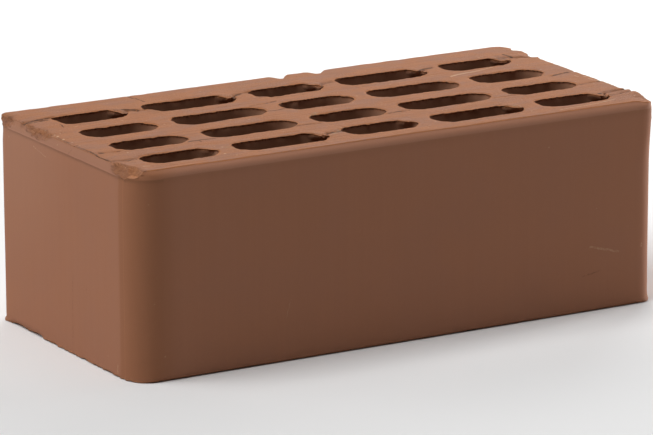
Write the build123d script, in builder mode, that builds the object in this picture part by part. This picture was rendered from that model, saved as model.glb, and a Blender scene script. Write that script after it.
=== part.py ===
from build123d import *
import os

# Clay facing brick, 250 x 120 x 88 mm, extruded, wire-cut and fired as one piece.
# The clay leaves its die along Z with the slots already in it, so every upright
# surface is a straight prism, and both beds are flat wire cuts. Rollers then press
# down the arrises along the top of the face, its foot, and the top of the left header.
#
# Origin: centre of the bottom bed. +X along the length, +Y away from the face, +Z up.
# All sizes are in millimetres.

# Overall size of the fired brick
length = 250.0
width = 120.0
height = 88.0

# Upright corners left by the die: a little rounder at the face than at the back
face_corner_radius = 9.5
back_corner_radius = 8.0

# Slots: rows of five with full-round ends, in the order short, long, short, long, short
short_slot = 34.0
long_slot = 43.0
slot_width = 14.8
web_in_row = 8.5
web_between_rows = 11.0
face_wall = 10.8
slot_rows = 4
slots_in_row = 5

# Rolled arris along the top of the face
face_roll_inset = 2.4
face_roll_drop = 4.0
face_roll_bulge = 0.5

# Flatter rolled arris along the top of the left header
header_roll_inset = 2.5
header_roll_drop = 3.8
header_roll_bulge = 0.3

# Small rolled arris along the bottom of the face
foot_roll_inset = 1.2
foot_roll_drop = 2.3
foot_roll_bulge = 0.25

# Scars torn out of the left header's top arris while the clay was wet: how far each
# reaches onto the bed, down the header and along the arris, and its roundness across
corner_scar_on_bed = 6.2
corner_scar_down = 3.8
corner_scar_length = 17.0
corner_scar_radius = 5.0
corner_scar_from_face = 10.8
middle_scar_on_bed = 4.6
middle_scar_down = 3.0
middle_scar_length = 18.0
middle_scar_radius = 4.5
middle_scar_from_back = 35.5
end_scar_on_bed = 3.4
end_scar_down = 4.0
end_scar_length = 12.0
end_scar_radius = 4.0
end_scar_from_back = 6.5


# Where the flat sides lie
face_y = -width / 2
back_y = width / 2
left_x = -length / 2


def slot_lengths():
    """The lengths of the slots in one row, short and long in turn."""
    return [short_slot if n % 2 == 0 else long_slot for n in range(slots_in_row)]


def slot_centres_x():
    """Centres along X: each slot starts one web after the one before, the row centred."""
    lengths = slot_lengths()
    start = -(sum(lengths) + web_in_row * (slots_in_row - 1)) / 2
    centres = []
    for slot in lengths:
        centres.append(start + slot / 2)
        start += slot + web_in_row
    return centres


def row_centres_y():
    """Centres along Y, counted back from the wall behind the face."""
    first = face_y + face_wall + slot_width / 2
    pitch = slot_width + web_between_rows
    return [first + n * pitch for n in range(slot_rows)]


# All slots: one row is drawn slot by slot at every row's place
with BuildSketch(Plane.XY) as slots:
    with Locations(*[(0, centre_y) for centre_y in row_centres_y()]):
        for centre_x, slot in zip(slot_centres_x(), slot_lengths()):
            with Locations((centre_x, 0)):
                SlotOverall(slot, slot_width)


def arris_section(plane, inset, drop, bulge):
    """What a roller takes off a square arris, drawn with its corner at the plane's origin.

    The plane's x points into the brick and its y points away along the side.
    The remaining edge is a shallow arc that stands out by the bulge. Straight
    run-outs carry the cut on past the bed and the side, so it leaves both cleanly.
    """
    with BuildSketch(plane) as section:
        with BuildLine():
            roll = SagittaArc((inset, 0), (0, drop), bulge)
            over_bed = roll @ 0 - roll % 0 * drop
            off_side = roll @ 1 + roll % 1 * drop
            Polyline(roll @ 1, off_side, (-2 * drop, drop), (-2 * drop, -drop), over_bed, roll @ 0)
        make_face()
    return section.sketch


def arris_scar(centre_y, on_bed, down, scar_length, radius):
    """A spindle that bites the left header's top arris, to be cut away.

    Across the arris its circle passes through one point on the bed and one on the
    header, so its centre lies out from the middle of the chord between them. Along
    the arris it is a half ellipse, long enough for its bite to be the scar's length.
    """
    chord = Vector(on_bed, 0, down)
    outward = Vector(-down, 0, on_bed).normalized()
    middle = Vector(left_x + on_bed / 2, centre_y, height - down / 2)
    centre = middle + outward * (radius**2 - (chord.length / 2) ** 2) ** 0.5
    half_spindle = scar_length * radius / chord.length
    along = Vector(0, 1, 0)
    with BuildPart() as spindle:
        with BuildSketch(Plane(centre, x_dir=along, z_dir=outward)):
            with BuildLine():
                EllipticalCenterArc((0, 0), half_spindle, radius, start_angle=0, arc_size=180)
                Line((-half_spindle, 0), (half_spindle, 0))
            make_face()
        revolve(axis=Axis(centre, along))
    return spindle.part


# Planes at the left end of the face's arrises and at the front of the header's arris
face_top = Plane((left_x, face_y, height), x_dir=(0, 1, 0), z_dir=(-1, 0, 0))
face_foot = Plane((left_x, face_y, 0), x_dir=(0, 1, 0), z_dir=(1, 0, 0))
header_top = Plane((left_x, back_y, height), x_dir=(1, 0, 0), z_dir=(0, 1, 0))

face_roll = arris_section(face_top, face_roll_inset, face_roll_drop, face_roll_bulge)
foot_roll = arris_section(face_foot, foot_roll_inset, foot_roll_drop, foot_roll_bulge)
header_roll = arris_section(header_top, header_roll_inset, header_roll_drop, header_roll_bulge)

corner_scar = arris_scar(
    face_y + corner_scar_from_face,
    corner_scar_on_bed,
    corner_scar_down,
    corner_scar_length,
    corner_scar_radius,
)
middle_scar = arris_scar(
    back_y - middle_scar_from_back,
    middle_scar_on_bed,
    middle_scar_down,
    middle_scar_length,
    middle_scar_radius,
)
end_scar = arris_scar(
    back_y - end_scar_from_back,
    end_scar_on_bed,
    end_scar_down,
    end_scar_length,
    end_scar_radius,
)

with BuildPart() as clay_brick:
    # The cut-off length of clay, with its upright corners as the die leaves them
    Box(length, width, height, align=(Align.CENTER, Align.CENTER, Align.MIN))
    face_corners = clay_brick.edges().filter_by(Axis.Z).group_by(Axis.Y)[0]
    fillet(face_corners, radius=face_corner_radius)
    back_corners = clay_brick.edges().filter_by(Axis.Z).group_by(Axis.Y)[-1]
    fillet(back_corners, radius=back_corner_radius)
    extrude(slots.sketch, amount=height, mode=Mode.SUBTRACT)
    extrude(face_roll, amount=-length, mode=Mode.SUBTRACT)
    extrude(foot_roll, amount=length, mode=Mode.SUBTRACT)
    extrude(header_roll, amount=-width, mode=Mode.SUBTRACT)
    add([corner_scar, middle_scar, end_scar], mode=Mode.SUBTRACT)

clay_brick.part.label = "clay_brick"

os.makedirs("parts", exist_ok=True)
export_step(clay_brick.part, "parts/clay_brick.step")
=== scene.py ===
# %% [markdown]
# A wire-cut clay brick
#
# The real brick is one piece. Wet clay is pushed through a die that already holds the cores of
# the twenty slots, so every upright surface is a straight prism. Taut wires then cut the column
# of clay into bricks, and the two cut beds keep the wire's marks. Rollers press the arrises of
# the face down, handling tears a few corners, and the kiln fixes all of it.
#
# The measured solid comes first. It gives the size that everything below is worked out from, and
# the finished surface never leaves its box.

# %% Load the measured brick
import math

import bpy
import numpy as np
from mathutils import Matrix, Vector


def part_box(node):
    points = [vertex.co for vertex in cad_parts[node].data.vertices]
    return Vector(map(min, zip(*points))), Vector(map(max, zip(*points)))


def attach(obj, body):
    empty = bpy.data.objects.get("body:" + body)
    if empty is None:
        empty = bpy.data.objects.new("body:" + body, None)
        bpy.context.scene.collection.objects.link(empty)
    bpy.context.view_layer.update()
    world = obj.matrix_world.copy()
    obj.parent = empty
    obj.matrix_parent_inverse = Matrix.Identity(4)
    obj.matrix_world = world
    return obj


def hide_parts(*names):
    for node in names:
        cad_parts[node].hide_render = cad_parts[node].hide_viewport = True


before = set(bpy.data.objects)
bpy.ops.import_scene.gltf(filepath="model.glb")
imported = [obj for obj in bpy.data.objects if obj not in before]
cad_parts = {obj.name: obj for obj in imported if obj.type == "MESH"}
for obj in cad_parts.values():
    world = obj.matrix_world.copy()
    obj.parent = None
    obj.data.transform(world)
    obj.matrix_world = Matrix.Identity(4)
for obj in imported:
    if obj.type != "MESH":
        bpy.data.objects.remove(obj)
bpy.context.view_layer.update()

# %% [markdown]
# Driving dimensions
#
# The overall size is read from the solid. The slots, walls and rollers are what the die and the
# cutting table set, in millimetres, so they are named once here. The surface could also be taken
# from the solid's own triangles, but those are long slivers that can't carry any relief, so the
# brick is laid out again on a grid of its own.

# %% Sizes that the die and the rollers set
MM = 0.001
brick_low, brick_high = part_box("clay_brick")
length, width, height = (round(side / MM, 2) for side in brick_high - brick_low)
face_corner_radius = 9.5
back_corner_radius = 8.0
short_slot = 34.0
long_slot = 43.0
slot_width = 14.8
web_in_row = 8.5
web_between_rows = 11.0
face_wall = 10.8
slot_rows = 4
slots_in_row = 5
face_roll = {"inset": 2.4, "drop": 4.0, "bulge": 0.5}
header_roll = {"inset": 2.5, "drop": 3.8, "bulge": 0.3}
foot_roll = {"inset": 1.2, "drop": 2.3, "bulge": 0.25}
print(f"brick {length} x {width} x {height} mm")

# %% Where the slots lie
slot_lengths = [short_slot if n % 2 == 0 else long_slot for n in range(slots_in_row)]
row_start = -(sum(slot_lengths) + web_in_row * (slots_in_row - 1)) / 2
slot_centres = [
    row_start + sum(slot_lengths[:n]) + n * web_in_row + slot_lengths[n] / 2 for n in range(slots_in_row)
]
first_row = -width / 2 + face_wall + slot_width / 2
row_centres = [first_row + n * (slot_width + web_between_rows) for n in range(slot_rows)]
print("slot centres along X:", slot_centres, "rows along Y:", [round(y, 1) for y in row_centres])

# %% [markdown]
# The grid that the bed is laid out on
#
# A bed is one sheet with twenty round-ended holes. A boolean cut would leave ragged triangles
# round every hole. Here the grid lines themselves bend round the slots: rows that cross a slot
# are spaced as the sine of an angle, and the columns beside it move out by the cosine, so the
# cells meet the round ends exactly and the cells inside a slot are simply left out.

# %% Rows of the grid, from the face to the back
corner_steps = 8
wall_steps = 2
slot_steps = 18
between_steps = 12
back_steps = 9


def lay_out_rows():
    """Y of every row, and how far the slots' round ends reach past their straight part there.

    Corner rows follow y = r (1 - cos a). Slot rows follow y = centre + R sin a, and their
    reach is R cos a. Rows between are evenly spaced.
    """
    quarter = np.linspace(0, np.pi / 2, corner_steps + 1)
    half_turn = np.linspace(-np.pi / 2, np.pi / 2, slot_steps + 1)
    slot_radius = slot_width / 2
    rows = [-width / 2 + face_corner_radius * (1 - np.cos(quarter))]
    reach = [np.zeros(corner_steps + 1)]
    bands = []
    for n, centre in enumerate(row_centres):
        steps = wall_steps if n == 0 else between_steps
        gap = np.linspace(rows[-1][-1], centre - slot_radius, steps + 1)[1:]
        rows += [gap, centre + slot_radius * np.sin(half_turn[1:])]
        reach += [np.zeros(steps), slot_radius * np.cos(half_turn[1:])]
        end = sum(len(part) for part in rows) - 1
        bands.append((end - slot_steps, end))
    back_arc = width / 2 - back_corner_radius * (1 - np.cos(quarter[::-1]))
    strip = np.linspace(rows[-1][-1], back_arc[0], back_steps + 1)[1:]
    rows += [strip, back_arc[1:]]
    reach += [np.zeros(back_steps + corner_steps)]
    return np.concatenate(rows), np.concatenate(reach), bands


row_y, slot_reach, slot_bands = lay_out_rows()
print(len(row_y), "rows, slot bands between rows", slot_bands)

# %% Columns of the grid, from the left header to the right one
end_columns = 16
web_columns = 14
short_columns = 22
long_columns = 32
column_counts = [end_columns]
for slot in slot_lengths:
    column_counts += [short_columns if slot == short_slot else long_columns, web_columns]
column_counts[-1] = end_columns
column_starts = np.concatenate([[0], np.cumsum(column_counts)])
edge_crowding = 1.35
print(column_starts[-1], "columns")


def column_shares(interval):
    """Where the columns of one interval stand, as shares of it: crowded towards a header."""
    share = np.linspace(0, 1, column_counts[interval] + 1)
    if interval == 0:
        return share**edge_crowding
    if interval == len(column_counts) - 1:
        return 1 - (1 - share) ** edge_crowding
    return share


# %% [markdown]
# What the rollers do
#
# A roller runs along an arris and lays it over by a few millimetres. The bed gets that much
# narrower, and a shallow rounded slope joins it to the side. A Bevel modifier would treat every
# arris alike, while on this brick only three were rolled, each by its own amount, so the slope is
# written as an arc: how far in the surface lies at a depth below the bed.

# %% The rolled arrises
def rolled_inset(depth, inset, drop, bulge):
    """How far in a rolled arris lies at a depth below its bed.

    The slope is the arc through (inset, 0) and (0, drop) that stands out from its chord by
    the bulge. Its radius is chord squared over eight bulges, plus half a bulge.
    """
    chord = np.hypot(inset, drop)
    radius = chord**2 / (8 * bulge) + bulge / 2
    centre_in = inset / 2 + drop / chord * (radius - bulge)
    centre_deep = drop / 2 + inset / chord * (radius - bulge)
    deep = np.clip(depth, 0, drop)
    arc = centre_in - np.sqrt(radius**2 - (deep - centre_deep) ** 2)
    return np.where(depth < drop, arc, 0.0)


def insets_at(z):
    """(header inset, face inset) at a height above the bottom bed."""
    from_foot = np.asarray(z, float)
    from_top = height - from_foot
    header_in = rolled_inset(from_top, **header_roll)
    face_in = np.maximum(rolled_inset(from_top, **face_roll), rolled_inset(from_foot, **foot_roll))
    return header_in, face_in


print("insets at the top bed, mm:", [round(float(v), 2) for v in insets_at(height)])

# %% Plan of the brick's outline and of a whole bed
def half_length_at(y):
    """Half the brick's length at y: the corner arcs take r - sqrt(r^2 - (r - gap)^2) off it."""
    to_face = np.clip(face_corner_radius - (y + width / 2), 0, None)
    to_back = np.clip(back_corner_radius - (width / 2 - y), 0, None)
    front_cut = face_corner_radius - np.sqrt(np.clip(face_corner_radius**2 - to_face**2, 0, None))
    back_cut = back_corner_radius - np.sqrt(np.clip(back_corner_radius**2 - to_back**2, 0, None))
    return length / 2 - front_cut - back_cut


def bed_plan(z):
    """Plan (x, y) of every grid point of a bed, as an array of rows by columns by two.

    Each row runs from its point on the left outline over the ends of the five slots to its
    point on the right outline. Between two such knots the points are spaced by the shares.
    """
    header_in, face_in = insets_at(z)
    in_wall = np.clip((row_y + width / 2) / face_wall, 0, 1)
    pushed_y = np.where(in_wall < 1, -width / 2 + face_in + in_wall * (face_wall - face_in), row_y)
    outline_y = np.maximum(row_y, -width / 2 + face_in)
    knots = [np.stack([np.maximum(-half_length_at(row_y), -length / 2 + header_in), outline_y], -1)]
    for centre, slot in zip(slot_centres, slot_lengths):
        straight = (slot - slot_width) / 2
        knots.append(np.stack([centre - straight - slot_reach, pushed_y], -1))
        knots.append(np.stack([centre + straight + slot_reach, pushed_y], -1))
    knots.append(np.stack([half_length_at(row_y), outline_y], -1))
    strips = [knots[0][:, None]]
    for n in range(len(column_counts)):
        share = column_shares(n)[None, 1:, None]
        strips.append(knots[n][:, None] * (1 - share) + knots[n + 1][:, None] * share)
    return np.concatenate(strips, axis=1)


plan = bed_plan(height)
rows, columns = plan.shape[:2]
print("bed grid", rows, "x", columns)

# %% [markdown]
# One closed skin
#
# The top bed, the bottom bed, the outer side and the walls of the slots share their rims, point
# for point, so the brick stays one watertight solid. The side and the slot walls are loops of the
# bed's own points carried down in steps, close together where there is an arris or a torn rim.

# %% Depths at which the outer side and the slot walls are carried down
side_depths = np.concatenate(
    [
        np.linspace(0, 4.2, 12),
        np.linspace(4.2, 10, 6)[1:],
        np.linspace(10, height - 10, 16)[1:],
        np.linspace(height - 10, height - 2.3, 5)[1:],
        np.linspace(height - 2.3, height, 6)[1:],
    ]
)
slot_depths = np.array([0, 0.4, 1, 2, 3.5, 6, 10, 17, 28, 42, 60, 76, 84, 87, height])


def rim_of(near_row, far_row, left_column, right_column):
    """Grid numbers round a block of cells, in order: along the near row, up the right side,
    back along the far row and down the left side."""
    near = [(near_row, c) for c in range(left_column, right_column)]
    right = [(r, right_column) for r in range(near_row, far_row)]
    far = [(far_row, c) for c in range(right_column, left_column, -1)]
    left = [(r, left_column) for r in range(far_row, near_row, -1)]
    return np.array([r * columns + c for r, c in near + right + far + left])


def rings_down(top_loop, bottom_loop, plan_at, depths, first_number):
    """New points between two loops, and the four-sided faces that join ring to ring.

    Ring k holds the loop's plan at depth k. The first and last rings are the beds' own points.
    """
    count = len(top_loop)
    levels = [height - d for d in depths[1:-1]]
    inner = np.concatenate([np.column_stack([plan_at(z), np.full(count, z)]) for z in levels])
    numbers = first_number + np.arange(len(inner)).reshape(-1, count)
    rings = np.vstack([top_loop, numbers, bottom_loop])
    ahead = np.roll(rings, -1, axis=1)
    faces = np.stack([rings[:-1], rings[1:], ahead[1:], ahead[:-1]], -1).reshape(-1, 4)
    return inner, faces


# %% Put the skin together
def lay_skin():
    """Points and faces of the plain brick: two beds, the outer side and twenty slot walls."""
    upper, lower = bed_plan(height), bed_plan(0)
    points = [
        np.column_stack([upper.reshape(-1, 2), np.full(rows * columns, height)]),
        np.column_stack([lower.reshape(-1, 2), np.zeros(rows * columns)]),
    ]
    under = rows * columns
    corner = (np.arange(rows - 1)[:, None] * columns + np.arange(columns - 1)[None]).ravel()
    cell = np.stack([corner, corner + 1, corner + columns + 1, corner + columns], -1)
    kept = np.ones((rows - 1, columns - 1), bool)
    rims = [rim_of(0, rows - 1, 0, columns - 1)]
    for low_row, high_row in slot_bands:
        for n in range(slots_in_row):
            left, right = column_starts[2 * n + 1], column_starts[2 * n + 2]
            kept[low_row:high_row, left:right] = False
            rims.append(rim_of(low_row, high_row, left, right))
    cell = cell[kept.ravel()]
    faces = [cell, cell[:, ::-1] + under]

    outline_y = row_y[rims[0] // columns]
    half = half_length_at(outline_y)
    across = rims[0] % columns
    at_ends = [across == 0, across == columns - 1]
    outline_x = np.select(at_ends, [-half, half], upper.reshape(-1, 2)[rims[0], 0])

    def outline_at(z):
        header_in, face_in = insets_at(z)
        return np.column_stack(
            [np.maximum(outline_x, -length / 2 + header_in), np.maximum(outline_y, -width / 2 + face_in)]
        )

    number = 2 * under
    for n, rim in enumerate(rims):
        rim_plan = upper.reshape(-1, 2)[rim]
        plan_at = outline_at if n == 0 else (lambda z, rim_plan=rim_plan: rim_plan)
        depths = side_depths if n == 0 else slot_depths
        inner, ring_faces = rings_down(rim, rim + under, plan_at, depths, number)
        number += len(inner)
        points.append(inner)
        faces.append(ring_faces if n == 0 else ring_faces[:, ::-1])
    points, faces = np.concatenate(points), np.concatenate(faces)
    used, faces = np.unique(faces, return_inverse=True)
    return points[used], faces.reshape(-1, 4)


skin_points, skin_faces = lay_skin()
print(len(skin_points), "points,", len(skin_faces), "faces,", 2 * len(skin_faces), "triangles")

# %% [markdown]
# Noise that a maker can aim
#
# Fired clay is never quite flat. Its relief is made from lattice noise: random values at the
# corners of a box lattice, blended smoothly between them. A Displace modifier could do that too,
# but worked out as arrays the noise can be stretched along the wire's path, kept to one rim, or
# made to die away below the surface. The random values come from a fixed mixing of the lattice
# numbers, so every run gives the same brick.

# %% Lattice noise
def lattice_noise(points, cell, seed):
    """Smooth values from -1 to 1: corner values of a lattice of the given cell size, in mm,
    blended by 3t^2 - 2t^3 along each axis."""
    place = points / np.asarray(cell, float) + seed * 17.31
    base = np.floor(place).astype(np.int64)
    part = place - base
    part = part * part * (3 - 2 * part)
    total = np.zeros(len(points))
    for corner in range(8):
        step = np.array([corner & 1, corner >> 1 & 1, corner >> 2 & 1])
        weight = np.prod(np.where(step == 1, part, 1 - part), axis=1)
        total += weight * random_value(base + step, seed)
    return total


def random_value(numbers, seed):
    """A repeatable value from -1 to 1 for each triple of whole numbers."""
    mixed = (numbers * np.array([73856093, 19349663, 83492791])).sum(axis=1) + seed * 2654435761
    mixed = (mixed ^ (mixed >> 13)) * 1274126177 & 0xFFFFFFFF
    mixed = (mixed ^ (mixed >> 16)) * 2246822519 & 0xFFFFFFFF
    return (mixed ^ (mixed >> 13)) / 0x7FFFFFFF - 1


def fade(value, start, end):
    """0 at start and before it, 1 at end and past it, with a smooth step between them."""
    share = np.clip((value - start) / (end - start), 0, 1)
    return share * share * (3 - 2 * share)


trial = lattice_noise(skin_points, 5.0, 1)
print("noise from", round(trial.min(), 2), "to", round(trial.max(), 2))

# %% How far each point lies from the outline and from the nearest slot
def outline_distance(x, y):
    """Depth inside the rounded outline, and the outward direction there.

    With q the distance past the box that the corner arcs are swung from, the depth is
    r - |max(q, 0)| - min(max(qx, qy), 0), and outwards is along max(q, 0).
    """
    radius = np.where(y < 0, face_corner_radius, back_corner_radius)
    past_x = np.abs(x) - (length / 2 - radius)
    past_y = np.abs(y) - (width / 2 - radius)
    out_x, out_y = np.maximum(past_x, 0), np.maximum(past_y, 0)
    reach = np.hypot(out_x, out_y)
    inside = reach < 1e-6
    out_x = np.where(inside, past_x > past_y, out_x)
    out_y = np.where(inside, past_x <= past_y, out_y)
    size = np.hypot(out_x, out_y)
    depth = radius - reach - np.minimum(np.maximum(past_x, past_y), 0)
    return depth, np.sign(x) * out_x / size, np.sign(y) * out_y / size


def slot_distance(x, y):
    """Distance to the wall of the nearest slot, and the direction out of that slot.

    A slot is all points within R of its straight middle line, so the distance is the length
    from the nearest point of that line, less R.
    """
    best = np.full(len(x), 1e9)
    out_x, out_y = np.zeros(len(x)), np.zeros(len(x))
    for row in row_centres:
        for centre, slot in zip(slot_centres, slot_lengths):
            straight = (slot - slot_width) / 2
            dx = x - centre - np.clip(x - centre, -straight, straight)
            dy = y - row
            reach = np.hypot(dx, dy)
            near = reach - slot_width / 2 < best
            best = np.where(near, reach - slot_width / 2, best)
            out_x = np.where(near, dx / np.maximum(reach, 1e-6), out_x)
            out_y = np.where(near, dy / np.maximum(reach, 1e-6), out_y)
    return best, out_x, out_y


# %% [markdown]
# Where each point of the plain skin lies
#
# Every push below is a depth in millimetres times smooth weights: near a rim, near a bed, near a
# header. The distances that those weights read are measured once, on the plain skin, so that one
# push doesn't shift the place of the next.

# %% Distances on the plain skin
skin_x, skin_y, skin_z = skin_points.T
from_top = height - skin_z
from_edge, edge_x, edge_y = outline_distance(skin_x, skin_y)
from_slot, slot_x, slot_y = slot_distance(skin_x, skin_y)
near_top, near_foot = fade(-from_top, -3.0, 0), fade(-skin_z, -3.0, 0)
brick_points = skin_points.copy()
print("farthest point from a slot:", round(float(from_slot.max()), 1), "mm")

# %% [markdown]
# The smooth sides
#
# The die leaves the sides smooth. They still sink a little between their arrises as the clay
# dries, wave slowly, and carry faint upright lines from the die's lip. A Displace modifier would
# move both beds too, so all three are one push along the outward direction, full on the side and
# gone 3 mm inside it.

# %% Waves and die lines on the sides
side_wave = 0.14
side_sink = 0.15
die_line = 0.05

at_side = fade(-from_edge, -3, 0)
slow_waves = lattice_noise(skin_points, (60, 60, 45), 12)
slow_waves += 0.4 * lattice_noise(skin_points, (18, 18, 30), 13)
die_lines = lattice_noise(skin_points, (3.2, 3.2, 900), 11)
side_push = at_side * (side_wave * slow_waves + die_line * die_lines - side_sink)
brick_points[:, 0] += side_push * edge_x
brick_points[:, 1] += side_push * edge_y
print("sides pushed from", round(side_push.min(), 2), "to", round(side_push.max(), 2), "mm")

# %% [markdown]
# The wire's marks on the beds
#
# The cutting wire drags grains along with it, from one header to the other, and tears the clay
# where it leaves a slot. So the beds get three kinds of relief: slow waves, ridges drawn out along
# X, and single tears that run from slot to slot. Each tear is a groove along a line that was read
# off the real brick, and its depth and course wander with the noise. The mesh carries the broad
# part of a tear. Its hairline bottom is drawn by the finish, along the same lines.

# %% The tears, as they run on the top bed
# Each tear: from (x, y), to (x, y), half its width and its depth, in mm
tears = [
    ((-126.5, 38.2), (-122.8, 40.0), 0.9, 0.9),
    ((-122.8, 40.0), (-108.0, 42.6), 0.9, 0.9),
    ((-123.5, 37.7), (-111.0, 40.0), 0.6, 0.7),
    ((-79.0, 39.0), (-70.0, 35.0), 1.6, 1.1),
    ((-27.0, 37.5), (-15.0, 40.9), 1.1, 0.8),
    ((14.0, 36.5), (24.0, 38.5), 1.2, 0.8),
    ((62.0, 35.5), (74.5, 39.5), 1.0, 0.8),
    ((109.5, 42.0), (115.0, 38.0), 1.2, 0.9),
    ((115.0, 38.0), (125.0, 35.2), 1.0, 1.1),
    ((-121.0, -22.4), (-110.5, -23.3), 0.5, 0.5),
    ((-27.5, -22.2), (-16.5, -22.8), 0.5, 0.5),
    ((14.5, -22.6), (26.5, -22.5), 0.45, 0.4),
    ((66.0, -22.2), (79.0, -22.5), 0.45, 0.4),
    ((110.0, -19.9), (125.0, -17.7), 0.6, 0.6),
    ((110.5, 0.2), (125.0, 3.2), 0.6, 0.5),
    ((-27.0, 18.2), (-14.0, 20.2), 0.5, 0.4),
    ((-121.0, -36.4), (-110.3, -37.6), 0.7, 0.8),
    ((-24.5, -39.6), (-14.0, -38.3), 1.0, 0.8),
    ((108.5, -38.8), (126.0, -35.7), 0.9, 1.0),
    ((109.0, -44.3), (125.0, -40.6), 0.7, 0.6),
    ((-63.0, 60.0), (-61.5, 47.0), 0.5, 0.3),
]


def tear_depth(points, start, end, half_width, depth):
    """Depth of a groove round a line on the bed: it falls away as a bell, exp(-(d / w)^2),
    with the distance d from the line, which wanders a little and varies in strength."""
    start, end = np.array(start), np.array(end)
    along = end - start
    wander = np.stack([lattice_noise(points, 3.0, 31), lattice_noise(points, 2.4, 32)], -1) * 0.3
    offset = points[:, :2] + wander - start
    share = np.clip(offset @ along / (along @ along), 0, 1)
    distance = np.linalg.norm(offset - share[:, None] * along, axis=1)
    strength = 0.75 + 0.35 * lattice_noise(points, 1.7, 33)
    return depth * strength * np.exp(-((distance / half_width) ** 2))


tear_depths = np.max([tear_depth(skin_points, *tear) for tear in tears], axis=0)
print(len(tears), "tears on the top bed, up to", round(tear_depths.max(), 2), "mm deep")

# %% Waves and ridges of the cut beds
bed_sink = 0.25
wave_height = 0.11
ridge_height = 0.09
back_rise = 0.25


def bed_relief(points):
    """How far a cut bed lies below its highest plane, in mm: the sink, less the waves, less the
    ridges drawn out along X, less a slow rise towards the back."""
    waves = lattice_noise(points, (34, 22, 40), 3) + 0.6 * lattice_noise(points, (13, 8, 40), 4)
    ridges = lattice_noise(points, (22, 1.9, 40), 5) + 0.7 * lattice_noise(points, (9, 1.1, 40), 6)
    rise = back_rise * fade(points[:, 1], 5, 55)
    return bed_sink - rise - wave_height * waves - ridge_height * ridges


relief_depth = bed_relief(skin_points)
print("bed relief from", round(relief_depth.min(), 2), "to", round(relief_depth.max(), 2), "mm below")

# %% Lower the beds
groove_depth = 0.4
groove_from_roll = 0.7
groove_half_width = 0.6

worn_rim = (0.22 + 0.35 * lattice_noise(skin_points, 1.7, 24).clip(0)) * fade(-from_slot, -1.2, 0)
from_groove = skin_x + length / 2 - header_roll["inset"] - groove_from_roll
header_groove = groove_depth * np.exp(-((from_groove / groove_half_width) ** 2))
header_groove *= 0.6 + 0.6 * lattice_noise(skin_points, (40, 6, 40), 34)
lowered = relief_depth + worn_rim + header_groove.clip(0)
brick_points[:, 2] -= near_top * lowered + fade(-from_top, -1.5, 0) * tear_depths
brick_points[:, 2] += near_foot * (relief_depth + worn_rim)
print("top bed lowered by up to", round(float((near_top * lowered).max()), 2), "mm")

# %% [markdown]
# The slots' mouths
#
# Below the bed a slot is as true as the core that made it. At the bed its rim is ragged, because
# the wire tore it, and its ends are changed: the wire came from the left, so it squared off the
# left ends and flared the right ones. The rim's own points are moved, so the wall stays one sheet.

# %% Ragged rims
rim_ragged = 0.38
core_line = 0.12

at_rim = fade(-from_slot, -1.4, 0)
coarse_rag = lattice_noise(skin_points, (2.4, 2.4, 2.0), 21)
fine_rag = lattice_noise(skin_points, (0.9, 0.9, 1.5), 22)
core_lines = lattice_noise(skin_points, (2.2, 2.2, 300), 23)
ragged = rim_ragged * (0.7 * coarse_rag + 1.1 * fine_rag) * np.maximum(near_top, near_foot)
rim_push = at_rim * (ragged + core_line * core_lines)
brick_points[:, 0] += rim_push * slot_x
brick_points[:, 1] += rim_push * slot_y
print("rims pushed from", round(rim_push.min(), 2), "to", round(rim_push.max(), 2), "mm")

# %% Flared right ends and blunted left ends
mouth_reach = 3.5
mouth_depth = 6.0
mouth_flare = 0.7
slanted_end = 0.8
squared_end = 0.6
# How far a left end still reaches from the centre of its round, and in the first slot at the back
blunt_end = 6.5
blunt_end_torn = 5.0

at_mouth = fade(-from_slot, -mouth_reach, 0) * fade(-from_top, -mouth_depth, 0)
first_at_back = (skin_x < -100) & (skin_y > 20)
kept_end = np.where(first_at_back, blunt_end_torn, blunt_end)
blunted = (-slot_x * slot_width / 2 - kept_end).clip(0)
near_quarter = fade(-0.75 * slot_y - 0.66 * slot_x, 0.80, 1.0)
back_quarter = fade(0.7 * slot_y - 0.7 * slot_x, 0.80, 0.98)
right_tip = fade(slot_x, 0.75, 1.0)
brick_points[:, 0] += at_mouth * (mouth_flare * right_tip + blunted + slanted_end * near_quarter)
brick_points[:, 1] += at_mouth * squared_end * back_quarter
print("left ends blunted by up to", round(float(blunted[at_mouth > 0].max()), 2), "mm")

# %% [markdown]
# Tongues of clay dragged into the slots
#
# Where the wire leaves a slot it pulls a ragged tongue of clay over the slot's end. Leaving that
# out would make the slots look stamped. A tongue is made by pushing the rim's own points into the
# slot, most at the rim and less with every millimetre down the wall, so no loose piece is needed.

# %% The dragged tongues
# Each tongue: slot row, slot in the row, which end (+1 right), which side (+1 back), push in mm
tongues = [
    (3, 0, 1, 1, 5.6),
    (3, 1, -1, -1, 4.2),
    (3, 1, 1, 1, 5.2),
    (3, 2, 1, 1, 5.4),
    (3, 3, 1, 1, 4.6),
    (3, 4, 1, 1, 6.0),
    (0, 1, 1, 1, 5.4),
    (0, 2, 1, 1, 2.4),
    (0, 3, 1, 1, 5.0),
    (0, 4, 1, 1, 6.2),
    (0, 0, 1, 1, 1.4),
    (1, 0, -1, -1, 0.8),
]
tongue_length = 5.0
tongue_root = 2.2
tongue_thickness = 4.2
pushed_bed = 3.0


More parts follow.
